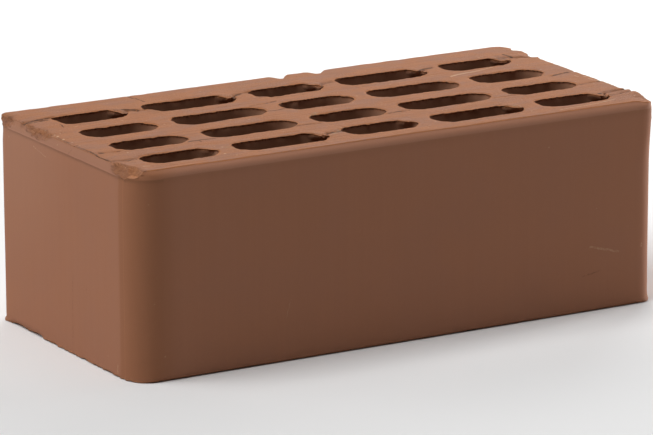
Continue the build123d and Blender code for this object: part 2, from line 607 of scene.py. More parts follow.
def tongue_push(points, row, slot, end, side, push):
    """Sideways push of one tongue: full from the slot's tip to the tongue's root and on its torn
    side, fading along the slot, over its thickness down the wall and over 3 mm across the bed."""
    tip = slot_centres[slot] + end * slot_lengths[slot] / 2
    inward = (tip - points[:, 0]) * end
    across = (points[:, 1] - row_centres[row]) * side
    near_end = fade(inward, -1.6, 0.8) * fade(-inward, -tongue_length, -tongue_length + tongue_root)
    torn_side = fade(across, -3.0, 6.0) * fade(-across, -slot_width / 2 - pushed_bed, -slot_width / 2)
    ragged = 0.85 + 0.32 * lattice_noise(points, 1.9, 41) + 0.2 * lattice_noise(points, 1.0, 42)
    down_wall = fade(-from_top, -tongue_thickness, -0.6)
    return -side * push * ragged * near_end * torn_side * down_wall * fade(-from_slot, -pushed_bed, 0)


pulled = np.zeros(len(skin_points))
for tongue in tongues:
    shove = tongue_push(skin_points, *tongue)
    brick_points[:, 1] += shove
    pulled = np.maximum(pulled, np.abs(shove) / 2.5)
print(len(tongues), "tongues")

# %% [markdown]
# Scars torn out of the left header's top arris
#
# Three bites are missing from this arris, torn out while the clay was wet. Each has the shape
# that a round spindle lying along the arris would leave, so every point that falls inside the
# spindle is moved straight in to its surface. The spindle's radius is roughened by noise drawn out
# across the bite, which gives the fibrous look of torn clay.

# %% The three scars
# Each scar: centre along Y, reach on to the bed, reach down the header, length, radius
scars = [
    (-width / 2 + 10.8, 6.2, 3.8, 17.0, 5.0),
    (width / 2 - 35.5, 4.6, 3.0, 18.0, 4.5),
    (width / 2 - 6.5, 3.4, 4.0, 12.0, 4.0),
]


def cut_scar(points, centre_y, on_bed, down, scar_length, radius):
    """Moves points inside a spindle to its surface, and says how deep each was.

    The spindle's radius at y is radius * sqrt(1 - (y / half length)^2), and its axis lies out
    from the middle of the chord between the bite's two rims. Its half length is the scar's
    length times the radius over the chord, so that it bites over the scar's length.
    """
    chord = np.hypot(on_bed, down)
    out = np.array([-down, on_bed]) / chord
    middle = np.array([-length / 2 + on_bed / 2, height - down / 2])
    axis = middle + out * math.sqrt(radius**2 - (chord / 2) ** 2)
    along = (points[:, 1] - centre_y) / (scar_length * radius / chord)
    fibres = 0.55 * lattice_noise(points, (5.0, 1.4, 5.0), 51) + 0.45 * lattice_noise(points, 1.2, 52)
    reach = radius * np.sqrt(np.clip(1 - along**2, 0, None)) + fibres * (1 - along**2).clip(0)
    offset = points[:, [0, 2]] - axis
    level = -(offset @ out)
    sideways = np.abs(offset @ np.array([out[1], -out[0]]))
    surface = np.sqrt(np.clip(reach**2 - sideways**2, 0, None))
    inside = (sideways < reach) & (np.abs(along) < 1)
    bite = np.where(inside, np.clip(surface - level, 0, None), 0.0)
    points[:, 0] -= bite * out[0]
    points[:, 2] -= bite * out[1]
    return bite


bites = np.max([cut_scar(brick_points, *scar) for scar in scars], axis=0)
bitten_share = fade(bites, 0.05, 0.5)
print("scars up to", round(bites.max(), 1), "mm deep")

# %% [markdown]
# Broken and pressed places on the sides
#
# The rest are small: two nicks in the back arris, a ragged arris at the right header, chips along
# the foot of the left header, the hollow under its rolled band, the crease where the die's corner
# insert meets its flat, lips that the wire dragged out at two corners, lumps at the back of the
# rolled band, and a drooped corner. Each is a push along one axis with a smooth weight round the
# place, as a thumb would make it, and says how torn it leaves the clay.

# %% Where the points lie by now, and how rough a break is
now_x, now_y, now_z = brick_points.T.copy()
below = height - now_z
rough = 0.5 * lattice_noise(brick_points, 1.8, 61) + 0.3 * lattice_noise(brick_points, 0.9, 62)
torn_share = np.zeros(len(brick_points))
print("breaks are rough from", round(rough.min(), 2), "to", round(rough.max(), 2), "mm")

# %% Two nicks and small chips in the back arris
nick_places = (11.7, 30.1)
nick_depth = 2.0
nick_drop = 1.0
chip_depth = 0.9

at_back = fade(now_y, width / 2 - 6, width / 2 - 1) * fade(-below, -5, -0.5)
for nick_x in nick_places:
    nick = fade(now_x, nick_x - 7, nick_x - 0.4) * fade(-now_x, -nick_x - 2.2, -nick_x) * at_back
    brick_points[:, 1] -= nick_depth * nick * (1 + 0.3 * rough)
    brick_points[:, 2] -= nick_drop * nick * fade(-below, -1.5, 0)
    torn_share = np.maximum(torn_share, nick)
back_chips = np.clip(lattice_noise(brick_points, (4.5, 40, 40), 63) - 0.2, 0, None) * at_back
brick_points[:, 1] -= chip_depth * back_chips
print("nicks at x =", nick_places)

# %% The broken top arris of the right header
# Its course: places along Y, and how far it is broken in there, in mm
arris_places = (-52, -45, -37, -35.5, -33, -25, 14, 29, 33, 35.5, 37.4, 41, 45.6, 49, 51.8, 54)
arris_broken = (0.6, 0.1, 0.0, 0.4, 1.3, 0.7, 0.6, 0.8, 0.0, 0.1, 1.9, 0.3, 0.0, 0.5, 1.7, 0.3)

right_top = fade(now_x - length / 2, -6, -0.5) * fade(-below, -5, -0.4)
broken = (np.interp(now_y, arris_places, arris_broken) + 0.35 * rough).clip(0)
brick_points[:, 0] -= broken * right_top
brick_points[:, 2] -= 0.35 * broken * right_top * fade(-below, -1, 0)
torn_share = np.maximum(torn_share, right_top * fade(broken, 0.6, 1.6))
print("arris broken in by up to", round(float(broken.max()), 1), "mm")

# %% The left header: chips along its foot, the hollow under its band, and the crease
header_hollow = 0.3
crease_y = -width / 2 + 13.2
crease_slope = 0.17

at_header = fade(-now_x, length / 2 - 3, length / 2 - 0.2)
foot = fade(-now_z, -3.0, -0.2) * at_header
more_chips = fade(now_y, 20, 25) * fade(-now_y, -52, -46)
foot_chips = foot * (0.4 + 0.9 * more_chips + 0.8 * rough).clip(0)
brick_points[:, 0] += 0.9 * foot_chips
brick_points[:, 2] += 0.6 * foot_chips * fade(-now_z, -1.2, 0)
torn_share = np.maximum(torn_share, foot * (0.25 + foot_chips).clip(0, 1))
brick_points[:, 0] += header_hollow * at_header * fade(below, 3.8, 4.4) * fade(-below, -11, -4.6)
past_crease = (crease_y - now_y).clip(0) * fade(-now_x, length / 2 - 16, length / 2 - 9)
brick_points[:, 0] += crease_slope * past_crease
print("header chipped by up to", round(float(0.9 * foot_chips.max()), 2), "mm")

# %% Lips that the wire dragged out at two upright corners
round_corner = 2 * np.abs(edge_x * edge_y)
back_left = round_corner * (now_x < 0) * (now_y > 0)
face_right = round_corner * (now_x > 0) * (now_y < 0)
left_lip = 1.3 * fade(-below, -4.5, -1) + 0.9 * fade(-now_z, -2.0, -0.3)
right_lip = 0.35 + 1.15 * fade(-below, -30, -2) + 0.5 * fade(-now_z, -3.5, -0.5)
lip = (back_left * left_lip + face_right * right_lip) * (1 + 0.25 * rough)
brick_points[:, 0] += lip * edge_x
brick_points[:, 1] += lip * edge_y
torn_share = np.maximum(torn_share, 0.9 * back_left * fade(-below, -5.5, -2))
print("lips out by up to", round(float(lip.max()), 2), "mm")

# %% Lumps at the back of the rolled band, and the drooped corner at the right of the face
lumpy = at_header * fade(now_y, 33, 37) * fade(-below, -4.5, -0.5)
brick_points[:, 0] += lumpy * (0.25 + 0.8 * rough).clip(0)
brick_points[:, 2] -= lumpy * (0.15 + 0.8 * rough).clip(0) * fade(-below, -1.5, 0)
torn_share = np.maximum(torn_share, 0.6 * lumpy)
right_corner = fade(now_x, length / 2 - 11, length / 2 - 1) * fade(-now_y, width / 2 - 16, width / 2 - 4)
droop = right_corner * fade(-below, -5, 0)
brick_points[:, 2] -= droop * (1.5 + 0.9 * rough).clip(0)
torn_share = np.maximum(torn_share, 0.3 * droop)
print("corner droops by up to", round(float((droop * (1.5 + 0.9 * rough)).max()), 1), "mm")

# %% [markdown]
# What the finish has to know
#
# The finish can't see which clay was torn, cut or rolled, so the shape tells it. Each weight is
# one number for each point of the mesh. A painted mask would do the same, but it would have to be
# painted again after every change of shape.

# %% Keep inside the measured box, and weigh the surface
brick_points = np.clip(brick_points, [-length / 2, -width / 2, 0], [length / 2, width / 2, height])
torn_share = np.maximum(torn_share, bitten_share)
torn_share = np.maximum(torn_share, 0.8 * np.clip(pulled, 0, 1))


def past_roll_edge(on_bed, roll):
    """How far a point lies past the upper edge of a rolled arris, in mm along the surface: on the
    bed it is the roll's inset less the distance from the side, and below it the depth, drawn out
    by chord over drop as far as the roll goes."""
    chord = np.hypot(roll["inset"], roll["drop"])
    on_slope = from_top * chord / roll["drop"]
    down = np.where(from_top < roll["drop"], on_slope, chord + from_top - roll["drop"])
    return np.where(from_top < 0.01, roll["inset"] - on_bed, down)


from_header, from_face = skin_x + length / 2, skin_y + width / 2
across_header_roll = np.clip(past_roll_edge(from_header, header_roll), -12, 12)
across_face_roll = np.clip(past_roll_edge(from_face, face_roll), -8, 12)
finish_weights = {
    "torn": torn_share,
    "bitten": bitten_share,
    "cut_bed": np.maximum(fade(-from_top, -0.5, -0.1), fade(-skin_z, -0.5, -0.1)),
    "inside_slot": fade(-from_slot, -0.6, -0.1) * fade(from_top, 0.1, 2.0),
    "from_rim": np.clip(from_slot, -1, 6),
    # tear: how deep the tears' grooves are; the finish darkens them by it as painted shade
    "tear": np.clip(tear_depths / 0.7, 0, 1) * near_top,
    "across_band": np.where(from_header < 14, across_header_roll, -12),
    "across_roll": np.where(from_face < 10, across_face_roll, -8),
}
print("moved by up to", round(float(np.abs(brick_points - skin_points).max()), 2), "mm")

# %% Make the mesh
def make_piece(name, points, faces, weights):
    """A smooth mesh from whole arrays, in metres, with one float attribute for each weight."""
    mesh = bpy.data.meshes.new(name)
    mesh.vertices.add(len(points))
    mesh.vertices.foreach_set("co", (points * MM).astype(np.float32).ravel())
    mesh.loops.add(faces.size)
    mesh.loops.foreach_set("vertex_index", faces.astype(np.int32).ravel())
    mesh.polygons.add(len(faces))
    mesh.polygons.foreach_set("loop_start", np.arange(0, faces.size, 4, dtype=np.int32))
    mesh.polygons.foreach_set("use_smooth", np.ones(len(faces), bool))
    mesh.update(calc_edges=True)
    for weight_name, values in weights.items():
        layer = mesh.attributes.new(weight_name, "FLOAT", "POINT")
        layer.data.foreach_set("value", values.astype(np.float32))
    mesh.set_sharp_from_angle(angle=math.radians(38))
    mesh.validate()
    piece = bpy.data.objects.new(name, mesh)
    bpy.context.scene.collection.objects.link(piece)
    return piece


brick = make_piece("fired_brick", brick_points, skin_faces, finish_weights)
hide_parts("clay_brick")
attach(brick, "root")
print("fired_brick:", len(brick.data.polygons), "faces")

# %% [markdown]
# The colour of the fired clay
#
# The body is a warm red-brown that hardly shines. What makes it read as clay is small: a mottle a
# few centimetres wide, fine streaks along the way it was pushed or cut, orange where a tear opened
# fresh body, pale grains of lime and a few dark specks. One material holds all of it, mixed by the
# weights that the shape left on the mesh, so colour and relief always lie in the same place. The
# renderer can hold only so many values of one material at a time, and draws it black past that, so
# the helpers use as few nodes as they can.

# %% Helpers that lay down nodes
clay = bpy.data.materials.new("fired_clay_finish")
clay.use_nodes = True
tree = clay.node_tree
tree.nodes.clear()


def put(kind, inputs=(), **settings):
    """Adds a node, sets its properties, and links or sets its inputs by name or number."""
    node = tree.nodes.new(kind)
    for key, value in settings.items():
        setattr(node, key, value)
    for key, value in dict(inputs).items():
        if isinstance(value, bpy.types.NodeSocket):
            tree.links.new(value, node.inputs[key])
        else:
            node.inputs[key].default_value = value
    return node


def sums(operation, first, second=0.0, third=0.0):
    """One step of arithmetic between sockets or numbers."""
    return put("ShaderNodeMath", {0: first, 1: second, 2: third}, operation=operation).outputs[0]


def vectors(operation, first, second=(0, 0, 0)):
    """One step of vector arithmetic. A dot product or a distance comes out as a plain number."""
    slot = "Scale" if operation == "SCALE" else 1
    node = put("ShaderNodeVectorMath", {0: first, slot: second}, operation=operation)
    return node.outputs["Value" if operation in ("DOT_PRODUCT", "DISTANCE") else "Vector"]


def product(*factors):
    """All factors multiplied."""
    total = factors[0]
    for factor in factors[1:]:
        total = sums("MULTIPLY", total, factor)
    return total


def most(*values):
    """The largest of all values."""
    largest = values[0]
    for value in values[1:]:
        largest = sums("MAXIMUM", largest, value)
    return largest


def centred(noise, amount):
    """Noise from 0 to 1 as a push to either side: (noise - 0.5) times the amount."""
    return sums("MULTIPLY", sums("SUBTRACT", noise, 0.5), amount)


def ramp(value, start, end, low=0.0, high=1.0):
    """Low before start, high past end, and a smooth run between them, which is level at both
    ends by itself. The node's own clamp would be a further step for each ramp, so it is off."""
    inputs = {"Value": value, "From Min": start, "From Max": end, "To Min": low, "To Max": high}
    node = put("ShaderNodeMapRange", inputs, interpolation_type="SMOOTHSTEP", clamp=False)
    return node.outputs["Result"]


def lay_over(share, under, over):
    """The under colour with the over colour laid on it by a share from 0 to 1."""
    over = over if isinstance(over, bpy.types.NodeSocket) else (*over, 1.0)
    under = under if isinstance(under, bpy.types.NodeSocket) else (*under, 1.0)
    node = put("ShaderNodeMix", {"Factor": share, "A": under, "B": over}, data_type="RGBA")
    return node.outputs["Result"]


def grain(size_mm, stretch=(1, 1, 1), detail=2.0, roughness=0.5, start=(0, 0, 0)):
    """Noise from 0 to 1 whose features are about size_mm across, drawn out by stretch."""
    scale = [1 / (size_mm * s) for s in stretch]
    moved = put("ShaderNodeMapping", {"Vector": place, "Scale": scale, "Location": start}).outputs[0]
    inputs = {"Vector": moved, "Scale": 1.0, "Detail": detail, "Roughness": roughness}
    return put("ShaderNodeTexNoise", inputs, noise_dimensions="3D").outputs["Fac"]


def weight(name):
    """One of the weights that the shape left on the mesh."""
    return put("ShaderNodeAttribute", attribute_name=name).outputs["Fac"]


metres = put("ShaderNodeTexCoord").outputs["Object"]
place = vectors("SCALE", metres, 1 / MM)
cut_bed, torn, bitten, tear = map(weight, ("cut_bed", "torn", "bitten", "tear"))
inside_slot, from_rim = map(weight, ("inside_slot", "from_rim"))
across_band, across_roll = map(weight, ("across_band", "across_roll"))
print("finish reads", len(finish_weights), "weights")

# %% [markdown]
# Lines and spots at their real places
#
# A drag line on this brick is under half a millimetre wide, finer than any mesh could carry. An
# image could hold it, but then the brick would need a picture file. Instead each line is worked
# out in the material: the distance from the shaded point to a straight run between two places,
# over the line's own half width. The smallest of those ratios over all runs is below 1 on a line
# and below 3 in the band beside it. The place is first shaken by noise, so no line is ruler
# straight. Beds, header and face are each flattened on to their own plane.

# %% Lines and spots as distances
def shaken(amount, size_mm):
    """The place, moved by noise of that amount in mm."""
    moved = put("ShaderNodeMapping", {"Vector": place, "Scale": [1 / size_mm] * 3}).outputs[0]
    noise = put("ShaderNodeTexNoise", {"Vector": moved, "Scale": 1.0, "Detail": 2.0}).outputs["Color"]
    return vectors("ADD", place, vectors("SCALE", vectors("SUBTRACT", noise, (0.5, 0.5, 0.5)), amount))


def on_plane(a, b, plane):
    """A place on the bed (x, y), the header (y, z) or the face (x, z), as a point in space."""
    return {"bed": (a, b, 0.0), "header": (0.0, a, b), "face": (a, 0.0, b)}[plane]


def distance_to(spot, lines, plane):
    """Smallest distance over half width, over every run of every line.

    A line is (half width, place, place, ...). The nearest point of a run is its start plus its
    direction times t, where t = offset . direction / length squared, kept between 0 and 1. A line
    with one place is a round spot.
    """
    nearest = 99.0
    for half_width, *places in lines:
        points = [Vector(on_plane(*each, plane)) for each in places]
        for start, end in zip(points, points[1:] or points):
            run = end - start
            if run.length > 0:
                offset = vectors("SUBTRACT", spot, start)
                along = vectors("DOT_PRODUCT", offset, run / run.length_squared)
                share = put("ShaderNodeClamp", {"Value": along}).outputs[0]
                gap = vectors("DISTANCE", offset, vectors("SCALE", run, share))
            else:
                gap = vectors("DISTANCE", spot, start)
            nearest = sums("MINIMUM", sums("MULTIPLY", gap, 1 / half_width), nearest)
    return nearest


line_shake = 1.3
shaken_place = shaken(line_shake, 2.6)
shaken_bed = vectors("MULTIPLY", shaken_place, (1, 1, 0))
shaken_header = vectors("MULTIPLY", shaken_place, (0, 1, 1))
shaken_face = vectors("MULTIPLY", shaken_place, (1, 0, 1))
print("places shaken by up to", line_shake / 2, "mm each way")

# %% Marks on the top bed
# Each mark: half its width, then its places, in mm
bed_cracks = [
    (0.42, (-125.1, 40.3), (-122.8, 38.9), (-118.2, 40.9), (-108.4, 42.8)),
    (0.36, (-124.9, 37.3), (-123.1, 37.8), (-111.2, 39.9)),
    (0.26, (-121.6, -17.7), (-122.8, -30.7), (-121.9, -36.1)),
    (0.28, (-110.6, -37.1), (-116.0, -39.5), (-119.5, -37.6)),
    (0.26, (-119.4, -21.6), (-115.4, -23.4), (-110.9, -23.2)),
    (0.20, (-122.9, -6.0), (-120.5, -5.4)),
    (0.34, (-79.5, 40.0), (-75.4, 39.4), (-70.5, 36.2)),
    (0.34, (-25.7, 35.3), (-21.9, 39.4), (-15.3, 40.8)),
    (0.28, (-27.3, 18.1), (-21.2, 18.6), (-13.5, 20.3)),
    (0.28, (-25.3, 6.3), (-21.5, 5.5), (-14.3, 7.0)),
    (0.32, (-27.3, -22.0), (-23.1, -23.1), (-16.8, -22.8)),
    (0.32, (-79.5, -23.6), (-73.1, -23.4), (-67.5, -24.2)),
    (0.18, (-75.2, -24.4), (-75.0, -26.4)),
    (0.16, (-110.0, 30.8), (-111.4, 25.0)),
    (0.30, (-24.6, -39.5), (-20.5, -38.9), (-16.1, -38.6)),
    (0.20, (14.8, -22.8), (20.0, -22.0), (26.0, -22.6)),
    (0.32, (66.5, 36.6), (71.0, 39.4), (74.8, 39.6)),
    (0.44, (114.3, 44.6), (115.2, 37.9), (120.0, 35.8), (125.0, 35.2)),
    (0.32, (111.0, 0.2), (117.3, 2.0), (121.0, 2.6)),
    (0.42, (111.3, -19.8), (117.7, -19.3), (125.0, -17.7)),
    (0.44, (109.7, -38.4), (116.4, -38.2), (125.0, -35.7)),
    (0.24, (109.2, -44.6), (115.6, -44.1), (124.0, -40.6)),
    (0.20, (-63.0, 60.0), (-61.5, 47.0)),
]
bed_pale = [
    (0.5, (73.2, 21.0), (79.7, 22.6), (86.1, 23.2)),
    # This line is a painted highlight along the bed's right arris.
    (0.24, (121.7, -11.8), (123.8, -18.7), (124.3, -27.4)),
    (0.30, (123.1, 3.3), (124.1, 2.3)),
    (0.28, (119.5, -4.2), (119.9, -7.0)),
    (0.45, (122.4, -7.5), (123.8, -7.8)),
    (0.22, (79.7, -54.7), (101.1, -52.6), (110.1, -50.6)),
    (0.30, (-115.0, -50.4), (-112.4, -51.2)),
    (0.40, (-109.4, -26.9)),
    (0.32, (-85.2, 22.7)),
    (0.3, (86.1, 23.2), (97.3, 26.5)),
    (0.55, (-120.5, 12.6), (-120.9, 12.0)),
    (0.50, (-120.8, 7.1), (-121.2, 6.6)),
    (0.42, (-120.4, 0.6)),
    (0.38, (-123.5, 17.7)),
    (0.45, (-33.2, 10.1)),
    (0.40, (-39.5, -2.8)),
    (0.45, (-45.9, 1.1)),
    (0.45, (-124.2, -42.9), (-123.4, -42.5)),
    (0.45, (-76.5, -48.6)),
    (0.40, (-72.0, -38.3)),
    (0.35, (20.3, 10.6)),
    (0.35, (43.5, 22.4)),
    (0.35, (113.4, 12.7)),
]
bed_ash = [
    (1.1, (67.8, -38.6), (67.7, -44.9)),
    (1.2, (-22.3, -41.9), (-16.0, -37.6)),
    (1.2, (-9.6, -6.4), (-13.7, -10.1)),
    (1.0, (-71.0, -39.5), (-68.6, -42.0)),
]
crack_gap = distance_to(shaken_bed, bed_cracks, "bed")
pale_gap = distance_to(shaken_bed, bed_pale, "bed")
ash_gap = distance_to(shaken_bed, bed_ash, "bed")
print("marks on the bed:", sum(map(len, (bed_cracks, bed_pale, bed_ash))))

# %% Marks on the left header and on the face
header_cracks = [
    (0.20, (-4.6, 84.2), (-6.0, 86.6)),
    (0.13, (-7.1, 34.4), (-6.3, 18.0), (-6.0, 1.6)),
    (0.35, (-18.7, 30.8)),
]
header_pale = [
    (0.22, (26.8, 81.0), (21.4, 80.2), (15.2, 78.9)),
    (0.38, (6.2, 85.8)),
    (0.45, (49.0, 82.9)),
    (0.50, (48.3, 80.7)),
    (0.55, (-44.8, 5.1), (-44.5, 2.1)),
    (0.30, (-36.7, 7.4)),
    (0.28, (50.3, 52.9)),
]
face_pale = [
    (0.30, (92.4, 81.5)),
    (0.30, (71.0, 74.0)),
    (0.28, (-117.3, 74.3)),
    (0.28, (-115.6, 32.8)),
    (0.40, (-110.9, 10.5)),
    (0.22, (-123.5, 21.2)),
    (0.24, (-118.8, 20.1), (-117.6, 20.3)),
    (0.40, (117.8, 26.4), (117.8, 24.9)),
    (0.24, (95.0, 44.6)),
    (0.10, (-55.1, 18.4), (-52.7, 26.1)),
    (0.45, (91.8, 28.2), (99.3, 26.2), (106.2, 24.4)),
]
face_dark = [(0.22, (88.0, 16.0), (91.9, 16.4), (97.0, 17.2))]
header_crack_gap = distance_to(shaken_header, header_cracks, "header")
header_pale_gap = distance_to(shaken_header, header_pale, "header")
face_pale_gap = distance_to(shaken_face, face_pale, "face")
face_dark_gap = distance_to(shaken_face, face_dark, "face")
print("marks on the sides:", sum(map(len, (header_cracks, header_pale, face_pale, face_dark))))

# %% Where each group of marks may show
x_mm, y_mm, z_mm = put("ShaderNodeSeparateXYZ", {0: place}).outputs
near_bed = ramp(z_mm, height - 3.4, height - 2.2)
top_bed = product(near_bed, ramp(from_rim, -0.1, 0.05), ramp(cut_bed, 0.2, 0.7))
on_header = ramp(x_mm, -length / 2 + 1.6, -length / 2 + 1.0)
on_face = ramp(y_mm, -width / 2 + 1.6, -width / 2 + 1.0)
broken_line = ramp(grain(1.7, detail=1.0), 0.20, 0.40)
side_breaks = ramp(grain(1.1, detail=1.0, start=(2, 4, 8)), 0.35, 0.6, 0.1, 0.42)
print("marks are kept to the top bed, the left header and the face")

# %% How strong each mark is
bed_marks = product(ramp(crack_gap, 2.3, 1.0), top_bed, broken_line)
header_marks = product(ramp(header_crack_gap, 1.6, 0.7), on_header, side_breaks)
face_marks = product(ramp(face_dark_gap, 1.8, 0.5), on_face, side_breaks)
cracks = most(bed_marks, header_marks, face_marks)
flanks = product(ramp(crack_gap, 5.5, 1.2), top_bed)
header_spots = product(ramp(header_pale_gap, 1.3, 0.6), on_header)
face_spots = product(ramp(face_pale_gap, 1.4, 0.5), on_face)
bed_spots = product(ramp(pale_gap, 1.3, 0.6), top_bed, broken_line)
pale = most(bed_spots, product(most(header_spots, face_spots), side_breaks))
ash = product(ramp(ash_gap, 1.3, 0.4), top_bed, ramp(grain(1.2, detail=3.0), 0.38, 0.58))
print("marks ready:", len(tree.nodes), "nodes so far")

# %% [markdown]
# Torn rims and rolled arrises
#
# Round each slot the wire opened fresh body: an orange seam with fine teeth. The dark edge at the rim
# itself is painted shade, where the bed turns down into the slot. The rolled arrises were smeared shut
# instead. All of them follow a distance that the shape left on the mesh, from the rim or across the
# roll, and fine noise is added to that distance before it is read. A painted mask would be simpler, but
# it would blur at this size.

# %% The torn rim of each slot
teeth = grain(0.75, stretch=(1.2, 1, 1), detail=3.0, roughness=0.7)
rim_reach = sums("ADD", from_rim, centred(teeth, 2.8))
near_mouth = ramp(z_mm, height - 5.0, height - 2.5)
rim_orange = product(ramp(rim_reach, 1.25, 0.35), near_mouth, ramp(inside_slot, 0.35, 0.1))
# Painted shade: a dark edge where the bed turns down into the slot, left off where the clay is torn.
rim_shade = product(ramp(rim_reach, 0.12, -0.22), near_mouth, ramp(inside_slot, 0.6, 0.2))
rim_shade = product(rim_shade, ramp(torn, 0.4, 0.1))
print("rims ready")

# %% The two rolled arrises
from_line = sums("ABSOLUTE", sums("ADD", sums("ADD", across_band, 0.75), centred(teeth, 1.2)))
# Painted shade in the groove along the top edge of the header's band: a dark line, broken by noise and
# left off in the scars.
band_groove_shade = product(ramp(from_line, 0.75, 0.25), ramp(grain(5, detail=3.0), 0.42, 0.62), top_bed)
band_groove_shade = product(band_groove_shade, ramp(bitten, 0.3, 0.05))
band_chord = math.hypot(header_roll["inset"], header_roll["drop"])
wandering = sums("ADD", across_band, centred(grain(9, detail=3.0), 0.8))
past_band = sums("SUBTRACT", wandering, band_chord)
# A painted highlight along the lip at the band's lower edge, and painted shadow just below it.
band_lip_highlight = product(ramp(past_band, -0.55, -0.15), ramp(past_band, 0.2, 0.0))
band_shadow = product(ramp(past_band, 0.0, 0.3), ramp(past_band, 2.0, 0.5))
on_band = product(ramp(across_band, 0.0, 0.25), ramp(across_band, band_chord + 0.2, band_chord - 0.1))
on_roll = product(ramp(across_roll, -0.05, 0.2), ramp(across_roll, 4.6, 4.0))
from_roll_edge = sums("ABSOLUTE", sums("SUBTRACT", across_roll, 0.05))
roll_rim = product(ramp(from_roll_edge, 0.5, 0.15), ramp(grain(2.2, detail=3.0), 0.30, 0.55))
rolled_share = most(on_band, on_roll)
print("rolled band", round(band_chord, 1), "mm wide along its slope")

# %% [markdown]
# Colours, one laid over the other
#
# The colours are laid on in the order in which the brick got them: fired body, rolled skin, the wire's
# cut, clay torn fresh, the slots' walls, and last the lime, ash and cracks. Some layers are painted
# light and shade, not clay: painted shade on the rounded corner between the left header and the face,
# slot walls coloured for the light inside them, and painted shade at the slots' rims, in grooves and in
# the hollows of torn clay. Each layer has a share from 0 to 1. One long colour ramp over a noise could
# stand in for all of them, but then orange would turn up where nothing is torn.

# %% Colours of the clay
body_colour = (0.350, 0.1515, 0.084)
skin_colour = (0.338, 0.150, 0.088)
bed_colour = (0.392, 0.160, 0.073)
torn_colour = (0.400, 0.172, 0.080)
orange_colour = (0.440, 0.165, 0.060)
# The slots' walls: a colour set for their shaded depth, and a redder one for the lit mouth
slot_shade_colour = (0.300, 0.180, 0.116)
lit_mouth_colour = (0.330, 0.165, 0.098)
# Painted shade for the rounded corner between the left header and the face
corner_shade_colour = (0.305, 0.127, 0.064)
bloom_colour = (0.425, 0.225, 0.150)
rolled_colour = (0.335, 0.160, 0.100)
pale_colour = (0.60, 0.39, 0.24)
ash_colour = (0.36, 0.235, 0.135)
# Dark for cracks and specks, and for the painted shade at rims, grooves and hollows
dark_colour = (0.075, 0.036, 0.022)
print("body colour", body_colour)

# %% Mottle, streaks and grain
mottle = ramp(grain(26, detail=4.0), 0.36, 0.68)
pushed_streaks = grain(1.6, stretch=(1, 1, 40), detail=3.0)
wire_streaks = grain(1.0, stretch=(22, 1, 1), detail=3.0)
fine_grain = grain(0.5, detail=4.0, roughness=0.65)
coarse_grain = grain(1.3, detail=3.0, roughness=0.6, start=(3, 7, 1))
not_bed = sums("SUBTRACT", 1.0, cut_bed)
print("mottle, streaks and grain ready")

# %% Skin of the sides, painted shade on the left face corner, and the cut beds
colour = lay_over(sums("MULTIPLY", mottle, 0.6), body_colour, skin_colour)
colour = lay_over(sums("MULTIPLY", rolled_share, 0.7), colour, rolled_colour)
# Past the crease, fully within 9 mm of the left end and fading out by 24 mm, the rounded corner between
# header and face is painted darker: painted shade for how the light falls off round it.
by_face = ramp(y_mm, crease_y + 0.2, crease_y - 1.4)
painted_corner_shade = product(by_face, ramp(x_mm, -length / 2 + 24, -length / 2 + 9))
colour = lay_over(painted_corner_shade, colour, corner_shade_colour)
colour = lay_over(cut_bed, colour, bed_colour)
smeared = product(cut_bed, ramp(grain(7, stretch=(2, 1, 1), detail=4.0), 0.42, 0.66), 0.7)
colour = lay_over(smeared, colour, rolled_colour)
colour = lay_over(product(cut_bed, ramp(coarse_grain, 0.55, 0.75), 0.5), colour, orange_colour)
print("skin and beds coloured")

# %% Fresh clay, and the walls of the slots, coloured for the light inside them
fresh = product(torn, ramp(grain(3.0, detail=3.0), 0.28, 0.6))
colour = lay_over(product(fresh, 0.75), colour, torn_colour)
colour = lay_over(product(flanks, ramp(coarse_grain, 0.3, 0.6), 0.7), colour, orange_colour)
colour = lay_over(product(most(rim_orange, roll_rim), 0.75), colour, orange_colour)
# The slots' walls are lit and shaded copies of the clay. Below 16 mm they take a colour set for the
# slot's shade, less red to offset light bounced between red walls. In the top 5 mm they take a redder
# colour for where direct light falls.
slot_wall_light_and_shade = lay_over(ramp(z_mm, height - 16, height - 5), slot_shade_colour, lit_mouth_colour)
colour = lay_over(inside_slot, colour, slot_wall_light_and_shade)
print("torn clay and slots coloured")

# %% Bloom, lime, ash and cracks, and painted shade at rims, grooves and hollows
bloom = ramp(vectors("DISTANCE", place, (-length / 2, 48.0, 82.0)), 60, 6, 0.0, 0.3)
colour = lay_over(product(bloom, on_header), colour, bloom_colour)
flecks = product(ramp(grain(1.0, detail=0.0), 0.79, 0.84), cut_bed)
colour = lay_over(product(flecks, 0.5), colour, pale_colour)
colour = lay_over(product(ash, 0.65), colour, ash_colour)
colour = lay_over(product(pale, 0.75), colour, pale_colour)
pits = product(ramp(grain(1.0, detail=2.0, start=(9, 2, 5)), 0.66, 0.75), most(cut_bed, torn))
# Painted shade in the hollows of torn clay: darker where the coarse grain that also lifts its relief is
# low.
torn_hollow_shade = product(torn, ramp(coarse_grain, 0.50, 0.32), 0.22)
darkened = most(product(cracks, 0.85), product(rim_shade, 0.72), product(band_groove_shade, 0.5), torn_hollow_shade)
# The tears are darkened by their depth: painted shade in their grooves. The pits are dark specks of the
# clay.
darkened = most(darkened, product(tear, 0.45), product(pits, 0.45))
colour = lay_over(darkened, colour, dark_colour)
print("marks coloured:", len(tree.nodes), "nodes so far")

# %% [markdown]
# Light and dark, relief and gloss
#
# The finest grain is too small to have a colour of its own, so it only makes the colour lighter or
# darker by a factor round 1. The same noises drive the bump, which keeps each grain's shade and its
# relief in one place. The same factor also carries painted light: a painted highlight on the face's
# rolled arris and on the lip of the header's band, and painted shade under each. Pressed clay is a
# little smoother than the rest.

